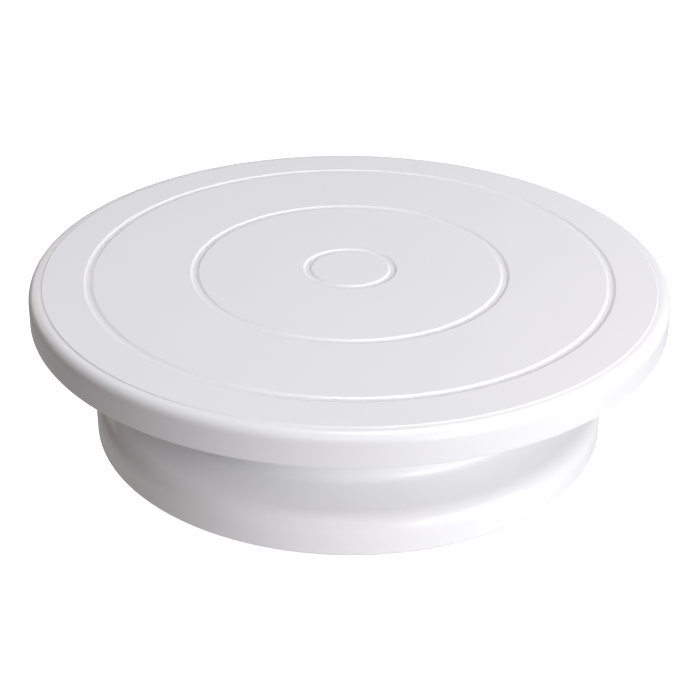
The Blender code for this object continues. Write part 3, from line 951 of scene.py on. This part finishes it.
cover_low, cover_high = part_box("screw_cover")
plug_radius = 13.3 * mm
lip_top = column_bottom - 0.2 * mm
cover_outline = rounded(
    [
        (0, lip_top, 0),
        (plug_radius - 1.5 * mm, lip_top, 0.4 * mm),
        (plug_radius - 1.5 * mm, cover_high.z, 0.3 * mm),
        (plug_radius, cover_high.z, 0.7 * mm),
        (plug_radius, lip_top, 0.2 * mm),
        (cover_high.x, lip_top, 0.3 * mm),
        (cover_high.x, cover_low.z, 0.9 * mm),
        (1.6 * mm, cover_low.z, 0.2 * mm),
        (1.3 * mm, cover_low.z + 0.3 * mm, 0.2 * mm),
        (0, cover_low.z + 0.3 * mm, 0),
    ],
    closed=False,
)
notch = bmesh.new()
notch_size = Matrix.Diagonal((2.4 * mm, 6 * mm, 1.2 * mm, 1))
bmesh.ops.create_cube(notch, size=1, matrix=Matrix.Translation((cover_high.x, 0, lip_top)) @ notch_size)
cover = combined(turned(cover_outline, 128), "DIFFERENCE", notch)
cover_edge = (cover_high.x, cover_low.z, 1.5 * mm)
cover_white = white_polypropylene("white polypropylene, cover", [cover_edge], marks_rarity=0.66)
piece("screw_cover_moulding", cover, cover_white, "base", ["screw_cover"])


# --------------------------------------------------------------------------------------------------
# Rubber pads
# Six soft grey pads with two grip rings in their soles. Each has a peg with a barb that pushes into a post
# in the foot, so that only rubber touches the worktop.
# --------------------------------------------------------------------------------------------------


def soft_rubber():
    """Grey thermoplastic rubber, matt, with a dusty bloom and a pebbled skin."""
    material, tree, shader, place = new_material("soft grey rubber", ior=1.5, specular_ior_level=0.3)
    tone = effect(
        tree,
        drift_effect,
        place=place,
        patches_a_metre=180.0,
        tone=(0.27, 0.27, 0.275, 1),
        aged_tone=(0.36, 0.355, 0.34, 1),
    )
    grain = effect(tree, grain_effect, place=place, grains_a_metre=4200.0, peel=1.5)
    rough = math_node(tree, "MULTIPLY_ADD", grain, 0.12, 0.68)
    bump = new_node(tree, "ShaderNodeBump", {"Strength": 0.5, "Distance": 0.04 * mm, "Height": grain})
    tree.links.new(tone, shader.inputs["Base Color"])
    tree.links.new(rough, shader.inputs["Roughness"])
    tree.links.new(bump.outputs["Normal"], shader.inputs["Normal"])
    return material


pad_low, pad_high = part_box("rubber_pad_1")
pad_radius = (pad_high.y - pad_low.y) / 2
pad_top = post_bottom - 0.2 * mm
peg_radius = 1.8 * mm
grip_depth, grip_half = 0.35 * mm, 0.45 * mm
sole = []
for grip in (4.6 * mm, 2.4 * mm):
    sole += [
        (grip + grip_half, pad_low.z, 0.12 * mm),
        (grip + grip_half * 0.6, pad_low.z + grip_depth, 0.1 * mm),
        (grip - grip_half * 0.6, pad_low.z + grip_depth, 0.1 * mm),
        (grip - grip_half, pad_low.z, 0.12 * mm),
    ]
pad_outline = rounded(
    [
        (0, pad_high.z, 0),
        (peg_radius, pad_high.z, 0.6 * mm),
        (peg_radius, pad_high.z - 2 * mm, 0.3 * mm),
        (peg_radius - 0.3 * mm, pad_high.z - 2.4 * mm, 0.2 * mm),
        (peg_radius - 0.3 * mm, pad_top, 0.2 * mm),
        (pad_radius, pad_top, 0.5 * mm),
        (pad_radius, pad_low.z + 0.8 * mm, 0.3 * mm),
        (pad_radius - 0.5 * mm, pad_low.z, 0.4 * mm),
        *sole,
        (0, pad_low.z, 0),
    ],
    closed=False,
)
rubber = soft_rubber()
for index, (x, y) in enumerate(pad_places):
    pad = turned(pad_outline, 64)
    bmesh.ops.translate(pad, verts=pad.verts, vec=(x, y, 0))
    node = f"rubber_pad_{index + 1}"
    piece(node + "_moulded", pad, rubber, "base", [node])


# --------------------------------------------------------------------------------------------------
# Studio
# A pale tabletop that glows a little round the foot and shows the camera a painted shadow under the foot's
# edge, a low key light from the right and front, four weaker softboxes and a dim warm room. The camera looks
# down on the plate from the front.
# --------------------------------------------------------------------------------------------------

plate_centre = Vector((0, 0, face_height))
view_elevation = math.radians(25.55)
view_distance = 674.3 * mm
view_dip = math.radians(3.07)  # how far below the plate's centre the camera aims
view_roll = math.radians(0.65)
lamp_distance = 2
table_half = 4

camera_data = bpy.data.cameras.new("camera")
camera_data.sensor_width = 36
camera_data.lens = 78.5
camera_data.clip_start = 0.05
camera_data.shift_x = 0.0014
camera = bpy.data.objects.new("camera", camera_data)
towards_camera = Vector((0, -math.cos(view_elevation), math.sin(view_elevation)))
aim = Matrix.Rotation(math.pi / 2 - view_elevation - view_dip, 4, "X") @ Matrix.Rotation(view_roll, 4, "Z")
camera.matrix_world = Matrix.Translation(plate_centre + towards_camera * view_distance) @ aim
bpy.context.scene.collection.objects.link(camera)
bpy.context.scene.camera = camera


def softbox(name, bearing, elevation, size, power, colour):
    """A rectangular area light that faces the plate. Its bearing is 0 at the right and 90 at the back."""
    light = bpy.data.lights.new(name, "AREA")
    light.shape = "RECTANGLE"
    light.size, light.size_y = size
    light.energy = power
    light.color = colour
    lamp = bpy.data.objects.new(name, light)
    turn = Matrix.Rotation(math.radians(bearing), 3, "Z") @ Matrix.Rotation(math.radians(-elevation), 3, "Y")
    towards = turn @ Vector((1, 0, 0))
    lamp.location = plate_centre + towards * lamp_distance
    lamp.rotation_euler = towards.to_track_quat("Z", "Y").to_euler()
    bpy.context.scene.collection.objects.link(lamp)


softbox("key softbox", -42, 14, (1.3, 0.5), 38.0, (0.95, 0.96, 1.0))
softbox("left softbox", 130, 14, (1.0, 0.5), 3.4, (1.0, 0.86, 0.76))
softbox("front softbox", -95, 45, (1.0, 0.9), 6.6, (1.0, 0.91, 0.96))
softbox("back softbox", 60, 45, (1.0, 0.9), 9.2, (1.0, 0.82, 0.92))
softbox("overhead softbox", 45, 75, (1.0, 0.9), 23.8, (0.89, 0.98, 1.0))

table_mesh = bpy.data.meshes.new("tabletop")
table_solid = bmesh.new()
bmesh.ops.create_grid(table_solid, x_segments=1, y_segments=1, size=table_half)
table_solid.to_mesh(table_mesh)
table_solid.free()
table = bpy.data.objects.new("tabletop", table_mesh)
bpy.context.scene.collection.objects.link(table)

table_paint = bpy.data.materials.new("pale tabletop")
table_paint.use_nodes = True
tree = table_paint.node_tree
shader = tree.nodes["Principled BSDF"]
shader.inputs["Base Color"].default_value = (0.35, 0.35, 0.35, 1)
shader.inputs["Roughness"].default_value = 0.9
spot = tree.nodes.new("ShaderNodeTexCoord").outputs["Object"]
away = new_node(tree, "ShaderNodeVectorMath", {0: spot}, operation="LENGTH").outputs["Value"]
round_foot = {"Value": away, "From Min": 0.16, "From Max": 0.24, "To Min": 0.31, "To Max": 0.0}
glow_strength = new_node(tree, "ShaderNodeMapRange", round_foot, interpolation_type="SMOOTHSTEP").outputs[0]
glow = new_node(tree, "ShaderNodeEmission", {"Color": (1.0, 0.98, 0.98, 1), "Strength": glow_strength})
glowing = new_node(tree, "ShaderNodeAddShader", {0: shader.outputs[0], 1: glow.outputs[0]})
seen = tree.nodes.new("ShaderNodeLightPath").outputs["Is Camera Ray"]
# Only the camera sees this white, and it is weaker under the foot's edge: a painted shadow under the foot.
painted_foot_shadow_range = {
    "Value": away,
    "From Min": foot_radius - 2.2 * mm,
    "From Max": foot_radius - 0.5 * mm,
    "To Min": 0.45,
    "To Max": 0.97,
}
white_less_painted_foot_shadow = new_node(tree, "ShaderNodeMapRange", painted_foot_shadow_range, interpolation_type="SMOOTHSTEP").outputs[0]
bright = new_node(tree, "ShaderNodeEmission", {"Color": (1, 1, 1, 1), "Strength": white_less_painted_foot_shadow})
whitened_with_painted_foot_shadow = new_node(tree, "ShaderNodeAddShader", {0: glowing.outputs[0], 1: bright.outputs[0]})
mixed = new_node(tree, "ShaderNodeMixShader", {0: seen, 1: glowing.outputs[0], 2: whitened_with_painted_foot_shadow.outputs[0]})
tree.links.new(mixed.outputs[0], tree.nodes["Material Output"].inputs["Surface"])
table_mesh.materials.append(table_paint)

room = bpy.data.worlds.new("dim room")
room.use_nodes = True
tree = room.node_tree
dim = tree.nodes["Background"]
dim.inputs["Color"].default_value = (1.0, 0.70, 0.46, 1)
dim.inputs["Strength"].default_value = 0.05
bright = new_node(tree, "ShaderNodeBackground", {"Color": (1, 1, 1, 1), "Strength": 1.2})
seen = tree.nodes.new("ShaderNodeLightPath").outputs["Is Camera Ray"]
mixed = new_node(tree, "ShaderNodeMixShader", {0: seen, 1: dim.outputs[0], 2: bright.outputs[0]})
tree.links.new(mixed.outputs[0], tree.nodes["World Output"].inputs["Surface"])
bpy.context.scene.world = room
bpy.context.scene.view_settings.view_transform = "Standard"
